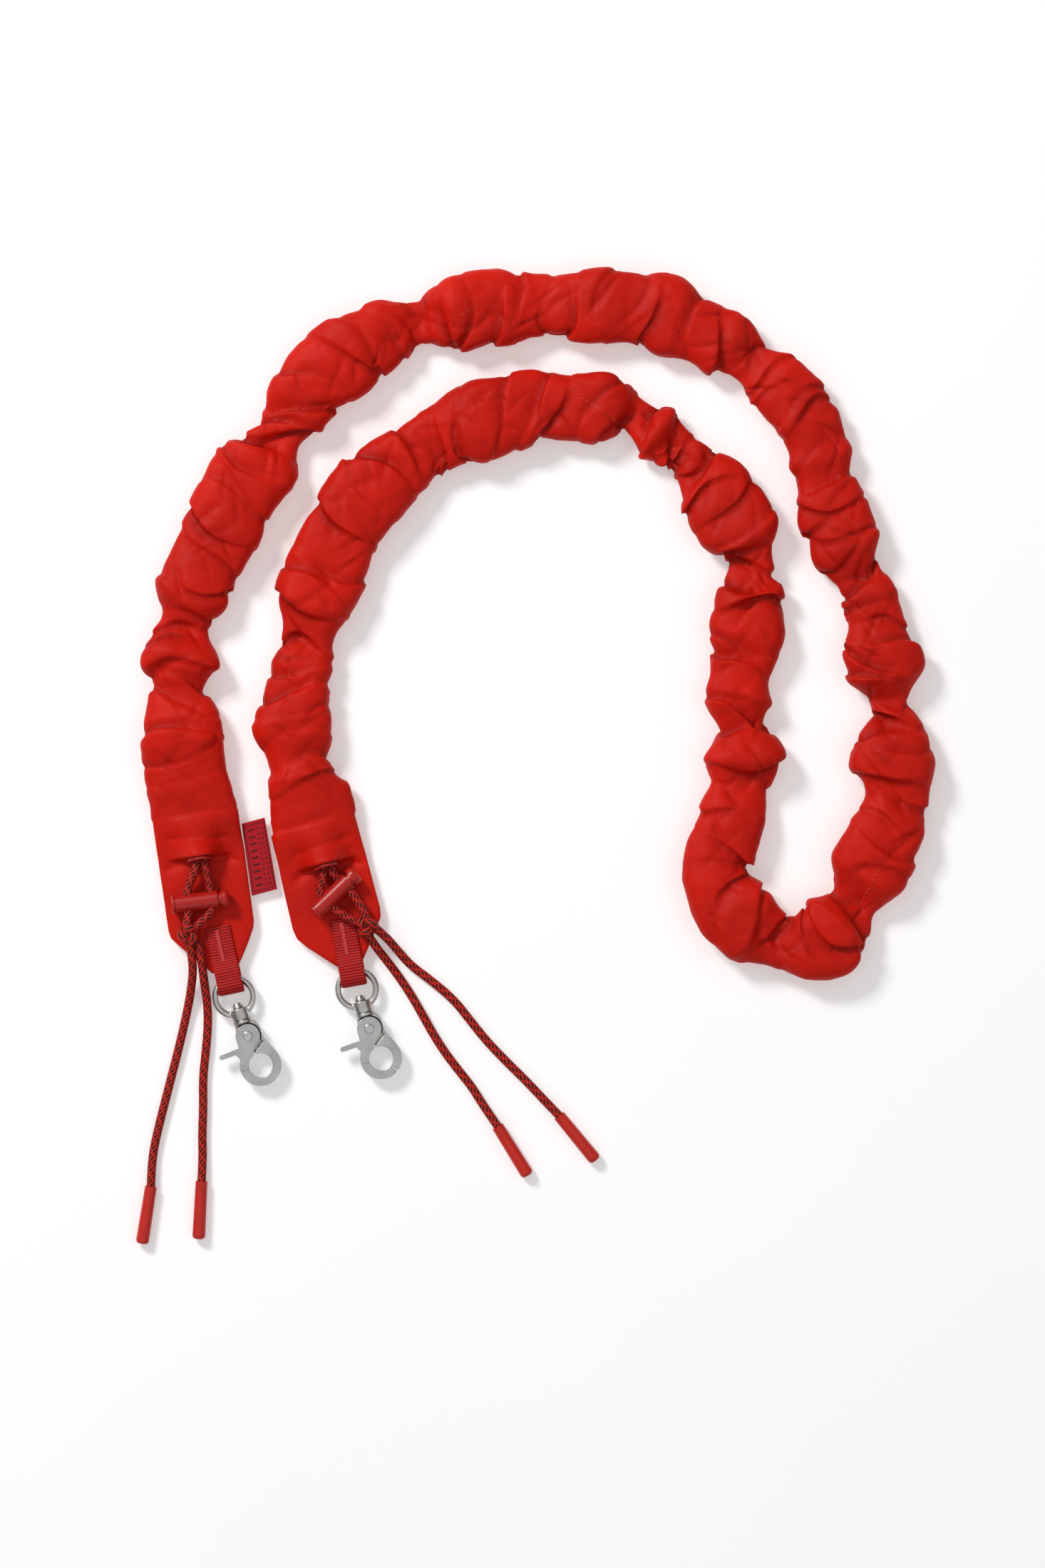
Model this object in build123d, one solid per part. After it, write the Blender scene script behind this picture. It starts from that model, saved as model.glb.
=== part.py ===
from build123d import *
import os
from collections import namedtuple
from math import cos, hypot, radians, sin, tan

# Ruched fabric shoulder strap with two drawcords, two cord locks and two trigger snap hooks.
# Millimetres, +Z up. The strap lies on the plane Z = 0, and the origin is the middle of its footprint.

# ---- Driving dimensions ----
SLEEVE_WIDTH = 29.0
SLEEVE_HEIGHT = 15.5
SLEEVE_WALL = 1.2
SLEEVE_CORNER = 7.0

COVER_WALL = 1.0
PAD_THICKNESS = 2.2
SEAM = 2.5
HOOD_LENGTH = 18.0
HOOD_HALF_WIDTH = 9.2
HOOD_TOP = 16.8
WINDOW = (9.0, 8.0)

WEB_WIDTH = 10.4
WEB_THICKNESS = 1.1
WEB_GAP = 6.4
BARTACK = (2.2, 11.0, 0.5)

CORD_DIAMETER = 3.5
CORD_SPACING_EYELET = 3.6
CORD_SPACING_SLEEVE = 5.2
TIP_LENGTH = 24.0
TIP_RADII = (2.45, 2.7)
TIP_ROUND = 1.6
KNOT_SIZE = (10.4, 10.4, 8.8)

EYELET_BORE = 3.7
EYELET_BARREL = 4.25
EYELET_FLANGE = 5.2
EYELET_TILT = 10.0

LOCK_LENGTH = 19.0
LOCK_RADIUS = 3.6
LOCK_BORE = 2.8
LOCK_FLANGE = (4.1, 1.3)
LOCK_HOLES = (6.4, 16.4)
LOCK_HOLE_DIAMETER = 3.9
LOCK_TRAVEL = 1.5
BUTTON_RADIUS = 3.9
BUTTON_LENGTH = 2.8
NECK_GAP = 1.6
RUNNING_GAP = 0.06

EYE_RING_RADIUS = 7.8
EYE_WIRE_RADIUS = 1.3
EYE_CENTRE = 17.1
BOSS_RADIUS = 3.95
BOSS_SPAN = (7.05, 12.0)
POST_RADIUS = 1.5
JAW_CENTRE = (0.94, -13.1)
JAW_INNER = 5.0
JAW_OUTER = 8.6
JAW_THICKNESS = 3.8
GATE_ANGLE = -55.0
PLATE_HALF = 2.2
PLATE_GAP = 0.1
DISC_RADIUS = 5.1
RIVET_RADIUS = 1.5
RIVET_HEAD = (2.0, 0.7)

LABEL_THICKNESS = 0.7
LABEL_OUTLINE = [(19.0, -12), (28.5, -13.2), (29.5, 16.8), (19.0, 18.1)]

# ---- Heights worked out from the sizes above ----
WEB_MIDDLE = WEB_GAP / 2 + WEB_THICKNESS
PAD_BOTTOM = WEB_THICKNESS
PAD_TOP = PAD_BOTTOM + 2 * COVER_WALL + PAD_THICKNESS
EYELET_HEIGHT = PAD_TOP + EYELET_FLANGE + 0.25
LOCK_HEIGHT = PAD_TOP + LOCK_FLANGE[0] + 0.2
KNOT_HEIGHT = PAD_TOP + KNOT_SIZE[2] / 2 + 0.1
SLEEVE_MIDDLE = SLEEVE_HEIGHT / 2

# ---- Routes, each a list of points chosen on the object ----
# The sleeve's middle line between its two flat ends.
SLEEVE_ROUTE = [
    (-148, -3), (-142, 27), (-132, 54), (-120, 80), (-103, 106), (-78, 131), (-56, 146),
    (-30, 151), (0, 154), (36, 153), (66, 145), (90, 130), (112, 108), (121, 84), (127, 58),
    (138, 34), (144, 4), (147.5, -24), (147.5, -54), (138, -82), (124, -103), (108, -108),
    (86, -98), (77, -82), (82, -58), (86, -36), (84, -12), (88, 14), (88, 46), (78, 73),
    (58, 94), (34, 109), (0, 112.5), (-30, 103), (-58, 86), (-78, 62), (-90, 32), (-97, 4),
]
END_RUN = 28.0

# The free tail of each cord, from its knot to its moulded tip.
TAILS = {
    "left_a": [
        (-142.0, -108.7, 8.6), (-140.4, -117, 7.9), (-141.2, -126, 4.3), (-142.9, -135.5, 1.9),
        (-145.9, -149, 1.8), (-149.6, -163.5, 1.8), (-153.2, -177.5, 1.8), (-156.2, -189.5, 1.8),
        (-158.0, -200, 1.9), (-158.2, -209.5, 2.7),
    ],
    "left_b": [
        (-138.3, -108.2, 8.6), (-136.8, -117.8, 8.0), (-135.9, -126.5, 4.4), (-134.8, -135, 1.9),
        (-134.7, -144, 1.8), (-135.6, -154, 1.8), (-136.8, -165, 1.8), (-136.6, -177, 1.8),
        (-137.1, -188, 1.8), (-136.8, -198, 1.9), (-137.3, -207.3, 2.7),
    ],
    "right_a": [
        (-68.5, -105.2, 8.6), (-65.6, -109.8, 7.6), (-61.2, -115.5, 4.2), (-56.4, -122, 1.9),
        (-51.3, -129.5, 1.8), (-46.4, -138, 1.8), (-42.0, -146, 1.8), (-37.2, -153.6, 1.8),
        (-31.6, -161, 1.8), (-25.9, -168, 1.8), (-21.0, -176, 1.9), (-15.0, -184.6, 2.7),
    ],
    "right_b": [
        (-65.3, -102.6, 8.6), (-61.0, -106.2, 7.2), (-56.4, -111.8, 3.9), (-50.9, -118.2, 1.9),
        (-42.6, -124.3, 1.8), (-33.2, -132.2, 1.8), (-26.6, -140.6, 1.8), (-19.6, -149.4, 1.8),
        (-11.3, -158, 1.8), (-2.8, -166.3, 1.8), (4.2, -173.8, 1.9), (10.4, -180.2, 2.7),
    ],
}
TIP_ENDS = {
    "left_a": (-161.9, -233.2),
    "left_b": (-138.5, -231.3),
    "right_a": (-2.4, -205.0),
    "right_b": (25.6, -198.7),
}

# One end of the strap. Points are (across, down) from the eyelet, in the end's own tilted frame.
StrapEnd = namedtuple(
    "StrapEnd",
    "name eyelet tilt outline lock_start lock_turn knot approach leave lower "
    "web_top web_tilt web_length rivet hook_tilt",
)
ENDS = [
    StrapEnd(
        name="left",
        eyelet=(-137.6, -74.1),
        tilt=8.0,
        outline=[(-17.4, -18), (-17.2, 31.5), (-1.9, 47.5), (8.9, 47.5), (18.2, 31), (18.2, -18)],
        lock_start=(-13.9, 17.0),
        lock_turn=-1.0,
        knot=(-8.8, 30.3),
        approach=(5.0, 5.0),
        leave=(4.6, 5.0),
        lower=[(-9.4, 26.2), (-4.9, 26.8)],
        web_top=(-130.6, -102.1),
        web_tilt=12.2,
        web_length=28.6,
        rivet=(-118.0, -147.2),
        hook_tilt=19.5,
    ),
    StrapEnd(
        name="right",
        eyelet=(-85.6, -77.1),
        tilt=15.0,
        outline=[(-18.8, -18), (-20.4, 26.5), (-6.4, 41.8), (4.4, 41.8), (16.8, 24.7), (16.8, -18)],
        lock_start=(-9.2, 17.3),
        lock_turn=29.0,
        knot=(9.8, 28.2),
        approach=(5.0, 3.4),
        leave=(5.0, 5.0),
        lower=[(5.2, 24.4), (10.4, 22.6)],
        web_top=(-79.1, -99.1),
        web_tilt=10.5,
        web_length=28.2,
        rivet=(-67.9, -144.2),
        hook_tilt=17.5,
    ),
]


# ---- Small helpers ----
def down(point, z=0.0):
    """A point given as (across, down) in an end's frame, as build123d's x, y, z."""
    return (point[0], -point[1], z)


def end_place(end):
    """The end's own frame: its origin on the ground below the eyelet, its tip towards -Y."""
    return Location((end.eyelet[0], end.eyelet[1], 0), (0, 0, end.tilt))


def arc_radii(points):
    """The radius of each corner: 0.45 of the shorter run over the tangent of half the turn."""
    radii = []
    for before, here, after in zip(points, points[1:], points[2:]):
        run_in, run_out = Vector(*here) - Vector(*before), Vector(*after) - Vector(*here)
        half_turn = radians(run_in.get_angle(run_out)) / 2
        radii.append(0.45 * min(run_in.length, run_out.length) / tan(half_turn))
    return radii


def route_wire(points):
    """Straight runs joined by tangent arcs."""
    return FilletPolyline(*points, radius=arc_radii(points))


def cord_along(points, label):
    """A round cord along a route, with its tightest radius and volume printed."""
    path = route_wire(points)
    section = Plane(origin=path @ 0, z_dir=path % 0) * Circle(CORD_DIAMETER / 2)
    cord = sweep(section, path=path)
    expected = section.area * path.length
    print(
        f"{label}: length {path.length:.1f}, radii {min(arc_radii(points)):.1f} to "
        f"{max(arc_radii(points)):.1f}, volume {cord.volume / expected:.3f} of section times length"
    )
    return cord


def beside(points, offset):
    """The same flat route, moved sideways by offset."""
    moved = []
    for i, (x, y) in enumerate(points):
        before, after = points[max(i - 1, 0)], points[min(i + 1, len(points) - 1)]
        run_x, run_y = after[0] - before[0], after[1] - before[1]
        length = hypot(run_x, run_y)
        moved.append((x + offset * run_y / length, y - offset * run_x / length))
    return moved


def ring(radius, width, height):
    """A flat washer on the XY plane."""
    return Cylinder(radius + width, height) - Cylinder(radius, height)


# ---- The ruched sleeve ----
def end_point(end, distance):
    """A ground point on the end's middle line, distance from the eyelet towards the sleeve."""
    place = (end_place(end) * Location((0, distance, 0))).position
    return (place.X, place.Y)


def strap_route():
    """The sleeve's route, straight into the collar of each flat end."""
    left, right = ENDS
    distances = (HOOD_LENGTH, HOOD_LENGTH + END_RUN)
    start = [end_point(left, distance) for distance in distances]
    finish = [end_point(right, distance) for distance in reversed(distances)]
    return start + SLEEVE_ROUTE + finish


def sleeve_section(width, height, corner):
    start, second = (Vector(*point) for point in strap_route()[:2])
    tangent = second - start
    plane = Plane(
        origin=(start.X, start.Y, SLEEVE_MIDDLE),
        x_dir=(tangent.Y, -tangent.X, 0),
        z_dir=(tangent.X, tangent.Y, 0),
    )
    return plane * RectangleRounded(width, height, corner)


def make_sleeve():
    route = [(x, y, SLEEVE_MIDDLE) for x, y in strap_route()]
    path = route_wire(route)
    outer = sweep(sleeve_section(SLEEVE_WIDTH, SLEEVE_HEIGHT, SLEEVE_CORNER), path=path)
    inner = sweep(
        sleeve_section(
            SLEEVE_WIDTH - 2 * SLEEVE_WALL,
            SLEEVE_HEIGHT - 2 * SLEEVE_WALL,
            SLEEVE_CORNER - SLEEVE_WALL,
        ),
        path=path,
    )
    radii = arc_radii(route)
    print(f"sleeve: length {path.length:.0f}, radii {min(radii):.1f} to {max(radii):.1f}")
    return outer - inner


def make_inner_cord(side):
    """One drawcord from eyelet to eyelet inside the sleeve; side is -1 or 1."""
    route = beside(strap_route()[1:-1], side * CORD_SPACING_SLEEVE / 2)
    points = [(x, y, SLEEVE_MIDDLE) for x, y in route]
    left, right = ENDS
    # The two ends face opposite ways along the strap, so the cord's side swaps.
    first = hood_points(left, side)[::-1]
    last = hood_points(right, -side)
    return cord_along(first + points + last, f"drawcord {side}")


def eyelet_point(side, distance):
    """A point on a cord in the eyelet, distance in front of it along its axis, in the end's frame."""
    tilt = radians(EYELET_TILT)
    across = side * CORD_SPACING_EYELET / 2
    return down((across, distance * cos(tilt)), EYELET_HEIGHT + distance * sin(tilt))


def hood_points(end, side):
    """A drawcord's route through the collar and the eyelet, in the part's frame."""
    collar = down((side * CORD_SPACING_SLEEVE / 2, -HOOD_LENGTH), SLEEVE_MIDDLE + 0.6)
    points = (collar, eyelet_point(side, -3.2), eyelet_point(side, 1.6))
    return [tuple((end_place(end) * Location(point)).position) for point in points]


# ---- The flat end: cover, padding, eyelet ----
def outline_face(points, inset=0.0):
    face = make_face(Polyline(*[down(p) for p in points], close=True))
    corners = face.vertices().group_by(Axis.Y)[:-1]
    face = fillet([vertex for group in corners for vertex in group], 2.5)
    return offset(face, -inset, kind=Kind.INTERSECTION) if inset else face


def eyelet_plane(end):
    """The eyelet's plane, at the outside of the hood's front wall, facing the tip and slightly up."""
    tilt = radians(EYELET_TILT)
    return Plane(origin=(0, 0, EYELET_HEIGHT), x_dir=(1, 0, 0), z_dir=(0, -cos(tilt), sin(tilt)))


def tunnel(half_width, bottom, top, front):
    """The hood's shape from the sleeve to a plane, front being that plane's offset."""
    section = Pos(0, (bottom + top) / 2) * Rectangle(2 * half_width, top - bottom)
    section = fillet(section.vertices().group_by(Axis.Y)[-1], half_width * 0.6)
    body = extrude(Plane(origin=(0, HOOD_LENGTH, 0), x_dir=(1, 0, 0), z_dir=(0, -1, 0)) * section, 30)
    return split(body, bisect_by=eyelet_plane(None).offset(front), keep=Keep.BOTTOM)


def make_cover(end):
    thickness = PAD_TOP - PAD_BOTTOM
    pad = extrude(Pos(0, 0, PAD_BOTTOM) * outline_face(end.outline), thickness)
    collar_face = Plane(
        origin=(0, HOOD_LENGTH, SLEEVE_MIDDLE), x_dir=(1, 0, 0), z_dir=(0, -1, 0)
    ) * RectangleRounded(SLEEVE_WIDTH, SLEEVE_HEIGHT, SLEEVE_CORNER)
    collar = extrude(collar_face, COVER_WALL)
    hood = tunnel(HOOD_HALF_WIDTH, PAD_TOP - COVER_WALL, HOOD_TOP, 0)
    hollow = tunnel(HOOD_HALF_WIDTH - COVER_WALL, PAD_TOP, HOOD_TOP - COVER_WALL, -COVER_WALL)
    window = Pos(0, HOOD_LENGTH, SLEEVE_MIDDLE + 1.5) * Box(WINDOW[0], 3 * COVER_WALL, WINDOW[1])
    hole = eyelet_plane(end) * Cylinder(EYELET_BARREL, 3 * COVER_WALL)
    return pad + hood + collar - make_padding(end) - hollow - hole - window


def make_padding(end):
    face = outline_face(end.outline, SEAM)
    return extrude(Pos(0, 0, PAD_BOTTOM + COVER_WALL) * face, PAD_THICKNESS)


def make_eyelet(end):
    """A rolled metal eyelet: a rounded flange in front of the wall and a barrel through it."""
    flange = Pos(0, 0, 0.5) * ring(EYELET_BORE, EYELET_FLANGE - EYELET_BORE, 1.0)
    flange = fillet(flange.edges().filter_by(GeomType.CIRCLE).group_by(Axis.Z)[-1], 0.45)
    barrel = Pos(0, 0, -0.9) * ring(EYELET_BORE, EYELET_BARREL - EYELET_BORE, 1.8)
    return eyelet_plane(end) * (flange + barrel)


def make_washer(end):
    back = ring(EYELET_BARREL, EYELET_FLANGE - EYELET_BARREL, 0.6)
    return eyelet_plane(end) * (Pos(0, 0, -COVER_WALL - 0.3) * back)


# ---- Cord between eyelet, cord lock and knot ----
def lock_place(end):
    """The cord lock's frame: origin at its closed end, +X along the barrel to the button."""
    return Location(down(end.lock_start, LOCK_HEIGHT), (0, 0, end.lock_turn))


def hole_point(end, index, ahead=0.0):
    """A point on the axis of one of the lock's cord holes, ahead towards the knot."""
    return tuple((lock_place(end) * Location((LOCK_HOLES[index], -ahead, 0))).position)


def make_upper_cords(end):
    """Both cords from the eyelet into the cord lock."""
    strands = []
    for index, side in enumerate((-1, 1)):
        points = [
            eyelet_point(side, 1.6),
            eyelet_point(side, 3.6),
            hole_point(end, index, -end.approach[index]),
            hole_point(end, index),
        ]
        strands.append(cord_along(points, f"{end.name} upper cord {index}"))
    return Compound(children=strands)


def make_lower_cords(end):
    """Both cords from the cord lock into the knot."""
    strands = []
    knot = Vector(*down(end.knot, KNOT_HEIGHT))
    for index in range(2):
        turn = Vector(*down(end.lower[index], LOCK_HEIGHT + 0.1))
        points = [
            hole_point(end, index),
            hole_point(end, index, end.leave[index]),
            tuple(turn),
            tuple(turn + (knot - turn) * 0.5),
        ]
        strands.append(cord_along(points, f"{end.name} lower cord {index}"))
    return Compound(children=strands)


def make_knot(end):
    return Pos(*down(end.knot, KNOT_HEIGHT)) * scale(Sphere(0.5), by=KNOT_SIZE)


# ---- Cord lock ----
def make_lock_barrel(end):
    body = Pos(LOCK_LENGTH / 2, 0, 0) * Cylinder(LOCK_RADIUS, LOCK_LENGTH, rotation=(0, 90, 0))
    flange_radius, flange_length = LOCK_FLANGE
    flange = Cylinder(flange_radius, flange_length, rotation=(0, 90, 0))
    flange = fillet(flange.edges().filter_by(GeomType.CIRCLE), 0.45)
    lip = Pos(LOCK_LENGTH - 0.45, 0, 0) * Cylinder(LOCK_RADIUS + 0.25, 0.9, rotation=(0, 90, 0))
    body += Pos(flange_length / 2, 0, 0) * flange + lip
    bore_length = LOCK_LENGTH - 0.8
    body -= Pos(0.8 + bore_length / 2, 0, 0) * Cylinder(LOCK_BORE, bore_length, rotation=(0, 90, 0))
    for x in LOCK_HOLES:
        body -= Pos(x, 0, 0) * Cylinder(LOCK_HOLE_DIAMETER / 2, 12, rotation=(90, 0, 0))
    return lock_place(end) * body


def make_lock_plunger(end):
    start = LOCK_HOLES[0] - LOCK_HOLE_DIAMETER / 2 - 0.75
    finish = LOCK_LENGTH + NECK_GAP
    length = finish - start
    shank = Pos(start + length / 2, 0, 0) * Cylinder(
        LOCK_BORE - RUNNING_GAP, length, rotation=(0, 90, 0)
    )
    button = Cylinder(BUTTON_RADIUS, BUTTON_LENGTH, rotation=(0, 90, 0))
    rims = button.edges().filter_by(GeomType.CIRCLE).sort_by(Axis.X)
    button = fillet(rims[-1], 1.3)
    shank += Pos(finish + BUTTON_LENGTH / 2, 0, 0) * button
    # Each slot leaves the cord free over the whole travel.
    for x in LOCK_HOLES:
        slot = SlotOverall(LOCK_HOLE_DIAMETER + LOCK_TRAVEL, LOCK_HOLE_DIAMETER)
        cutter = extrude(Plane.XZ * slot, 6, both=True)
        shank -= Pos(x + LOCK_TRAVEL / 2, 0, 0) * cutter
    return lock_place(end) * shank


def make_lock_spring(end):
    """The coil that pushes the plunger out, in the barrel's closed end."""
    wire, turns, radius = 0.4, 2.5, 1.9
    free = LOCK_HOLES[0] - LOCK_HOLE_DIAMETER / 2 - 0.75 - 0.8
    coil_height = free - wire - 0.04
    helix = Helix(coil_height / turns, coil_height, radius)
    coil = sweep(Plane(origin=helix @ 0, z_dir=helix % 0) * Circle(wire / 2), path=helix, is_frenet=True)
    return lock_place(end) * Location((0.8 + wire / 2 + 0.02, 0, 0), (0, 90, 0)) * coil


# ---- Webbing tab ----
def web_place(end):
    return Location((end.web_top[0], end.web_top[1], 0), (0, 0, end.web_tilt))


def make_web(end):
    """Grosgrain webbing folded round the hook's ring and sewn to both faces of the end."""
    half = WEB_THICKNESS / 2
    top, loop_top = PAD_TOP + half, WEB_GAP + 1.5 * WEB_THICKNESS
    bend = (WEB_GAP + WEB_THICKNESS) / 2 - 0.01
    length = end.web_length - half
    corners = [(0, top), (14, top), (18.6, loop_top), (length, loop_top), (length, half), (0, half)]
    radii = [8, 8, bend, bend]
    path = FilletPolyline(*[(0, -y, z) for y, z in corners], radius=radii)
    section = Plane(origin=path @ 0, x_dir=(1, 0, 0), z_dir=path % 0) * Rectangle(
        WEB_WIDTH, WEB_THICKNESS
    )
    return sweep(section, path=path)


def make_bartack(end):
    width, length, height = BARTACK
    bar = Box(width, length, height, align=(Align.CENTER, Align.MAX, Align.MIN))
    bar = fillet(bar.edges().filter_by(Axis.Z), 0.6)
    return Pos(-0.6, -1, PAD_TOP + WEB_THICKNESS) * bar


# ---- Side label ----
def make_label(end):
    face = make_face(Polyline(*[down(p) for p in LABEL_OUTLINE], close=True))
    return extrude(Pos(0, 0, (PAD_BOTTOM + PAD_TOP - LABEL_THICKNESS) / 2) * face, LABEL_THICKNESS)


# ---- Trigger snap hook, drawn flat: x across, y towards the eye, z up, the rivet at the origin ----
def hook_place(end):
    return Location((end.rivet[0], end.rivet[1], WEB_MIDDLE), (0, 0, end.hook_tilt))


def along_hook(radius, start, finish):
    """A round bar on the hook's axis between two heights."""
    bar = Cylinder(radius, finish - start, rotation=(90, 0, 0))
    return Pos(0, (start + finish) / 2, 0) * bar


def jaw_sector(start_angle, end_angle):
    """Part of the round jaw, from one angle to another, anticlockwise."""
    band = Circle(JAW_OUTER) - Circle(JAW_INNER)
    steps = 6
    reach = 2 * JAW_OUTER
    span = (end_angle - start_angle) / steps
    fan = [(0, 0)] + [
        (reach * cos(radians(start_angle + span * i)), reach * sin(radians(start_angle + span * i)))
        for i in range(steps + 1)
    ]
    sector = band & make_face(Polyline(*fan, close=True))
    return Pos(*JAW_CENTRE) * sector


def slab(face, low, high):
    return extrude(Pos(0, 0, low) * face, high - low)


def polygon(*points):
    return make_face(Polyline(*points, close=True))


def make_eye(end):
    low, high = BOSS_SPAN
    torus = Pos(0, EYE_CENTRE, 0) * Torus(EYE_RING_RADIUS, EYE_WIRE_RADIUS)
    boss = along_hook(BOSS_RADIUS, low, high)
    boss = fillet(boss.edges().filter_by(GeomType.CIRCLE), 0.4)
    return torus + boss - along_hook(POST_RADIUS + RUNNING_GAP, low - 1, high + 1)


def make_hook_frame(end):
    half = JAW_THICKNESS / 2
    back = polygon(
        (-3.8, 5.6), (4.6, 5.6), (5.9, 2.5), (5.8, -2.6), (7.2, -5.6), (0.4, -7.6), (-3.4, -3.9), (-4.9, -1)
    )
    back = back + Circle(DISC_RADIUS)
    shoulder = polygon((-3.8, 5.55), (4.6, 5.55), (5.9, 2.5), (5.8, -2.6), (7.2, -5.6), (5.15, -3.9))
    rim = shoulder - Circle(DISC_RADIUS + 0.35)
    lobe = polygon((5.8, -2.6), (8.35, -8.2), (9.4, -11.5), (6.0, -11), (0.94, -8.2), (0.2, -7.5), (5.15, -3.9))
    lobe = lobe - Pos(*JAW_CENTRE) * Circle(JAW_INNER)
    jaw = slab(jaw_sector(GATE_ANGLE + 1.5, 60), -half, half)
    frame = slab(back, -PLATE_HALF, -PLATE_GAP) + slab(rim, -PLATE_HALF, PLATE_HALF)
    frame += slab(lobe, -half, half) + jaw
    collar = along_hook(4.2, 5.5, BOSS_SPAN[0] - 0.1)
    frame += fillet(collar.edges().filter_by(GeomType.CIRCLE), 0.35)
    frame += along_hook(POST_RADIUS, 5.5, BOSS_SPAN[1] + 1)
    head = along_hook(2.45, BOSS_SPAN[1] + 0.1, BOSS_SPAN[1] + 1.2)
    crown = along_hook(1.9, BOSS_SPAN[1] + 1.1, BOSS_SPAN[1] + 2.3)
    frame += fillet(head.edges().filter_by(GeomType.CIRCLE), 0.3)
    frame += fillet(crown.edges().filter_by(GeomType.CIRCLE).sort_by(Axis.Y)[-1], 0.5)
    frame -= Cylinder(RIVET_RADIUS, 12)
    return frame - spring_pocket()


def spring_pocket():
    """The hollow between frame and trigger that holds the torsion spring."""
    return ring(RIVET_RADIUS + 0.1, 1.6, 2.0)


def make_trigger(end):
    half = JAW_THICKNESS / 2
    stem = polygon(
        (-5.1, 0), (4.95, -1.2), (-0.15, -7.2), (-0.5, -8.4), (-2.3, -9.3), (-6.6, -9.0), (-5.4, -6.0), (-5.2, -3.0)
    )
    lever = polygon((-4.6, -3.3), (-13.2, -3.6), (-14.2, -4.6), (-13.6, -5.9), (-7.4, -5.8), (-6.0, -8.4), (-4, -7))
    front = Circle(DISC_RADIUS) + stem + lever
    trigger = slab(front, PLATE_GAP, PLATE_HALF)
    sector = jaw_sector(122, 360 + GATE_ANGLE - 1.5)
    trigger += slab(sector, -half, half)
    trigger += slab(sector & polygon((-9, -7), (2, -7), (2, -13), (-9, -13)), PLATE_GAP, PLATE_HALF)
    trigger -= Cylinder(RIVET_RADIUS + RUNNING_GAP, 12)
    return trigger - spring_pocket()


def make_rivet(end):
    radius, height = RIVET_HEAD
    shank = Cylinder(RIVET_RADIUS, 2 * PLATE_HALF)
    head = Pos(0, 0, PLATE_HALF + height / 2) * Cylinder(radius, height)
    head = fillet(head.edges().filter_by(GeomType.CIRCLE).sort_by(Axis.Z)[-1], 0.5)
    foot = Pos(0, 0, -PLATE_HALF - height / 2) * Cylinder(radius, height)
    foot = fillet(foot.edges().filter_by(GeomType.CIRCLE).sort_by(Axis.Z)[0], 0.5)
    return shank + head + foot


def make_trigger_spring(end):
    wire, turns, radius = 0.5, 2.0, 2.35
    height = 1.2
    helix = Helix(height / turns, height, radius)
    coil = sweep(Plane(origin=helix @ 0, z_dir=helix % 0) * Circle(wire / 2), path=helix, is_frenet=True)
    return Pos(0, 0, -height / 2) * coil


# ---- Moulded cord tips ----
def make_tip(name):
    """A moulded end on a cord, lying on the ground: a slim cone with a rounded end."""
    start = Vector(*TAILS[name][-1])
    direction = Vector(*TIP_ENDS[name], start.Z) - start
    near, far = TIP_RADII
    plane = Plane(origin=start, z_dir=direction)
    body = Cone(near, far, TIP_LENGTH, align=(Align.CENTER, Align.CENTER, Align.MIN))
    body = fillet(body.edges().filter_by(GeomType.CIRCLE).sort_by(Axis.Z)[-1], TIP_ROUND)
    return plane * body


# ---- All nodes ----
def build_nodes():
    nodes = {"fabric_sleeve": make_sleeve()}
    for name, side in (("drawcord_inner", -1), ("drawcord_outer", 1)):
        nodes[name] = make_inner_cord(side)
    on_end = {
        "end_cover": make_cover,
        "end_padding": make_padding,
        "eyelet": make_eyelet,
        "eyelet_washer": make_washer,
        "cord_to_lock": make_upper_cords,
        "cord_to_knot": make_lower_cords,
        "cord_knot": make_knot,
        "lock_barrel": make_lock_barrel,
        "lock_plunger": make_lock_plunger,
        "lock_spring": make_lock_spring,
    }
    on_web = {"webbing_tab": make_web, "bartack": make_bartack}
    on_hook = {
        "hook_eye": make_eye,
        "hook_frame": make_hook_frame,
        "hook_trigger": make_trigger,
        "trigger_rivet": make_rivet,
        "trigger_spring": make_trigger_spring,
    }
    for end in ENDS:
        for group, place in ((on_end, end_place), (on_web, web_place), (on_hook, hook_place)):
            for name, make in group.items():
                nodes[f"{name}_{end.name}"] = place(end) * make(end)
    nodes["side_label"] = end_place(ENDS[0]) * make_label(ENDS[0])
    for name, points in TAILS.items():
        nodes[f"cord_tail_{name}"] = cord_along(points, f"tail {name}")
        nodes[f"cord_tip_{name}"] = make_tip(name)
    return nodes


os.makedirs("parts", exist_ok=True)
for node, shape in build_nodes().items():
    export_step(shape, f"parts/{node}.step")
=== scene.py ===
"""Looks for the ruched shoulder strap: fabric, cords, webbing, label, metal and plastic, on a pale stage."""

from collections import namedtuple
from math import cos, pi, radians, sin

import bmesh
import bpy
import numpy as np
from mathutils import Matrix, Vector, noise
from mathutils.bvhtree import BVHTree


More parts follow.
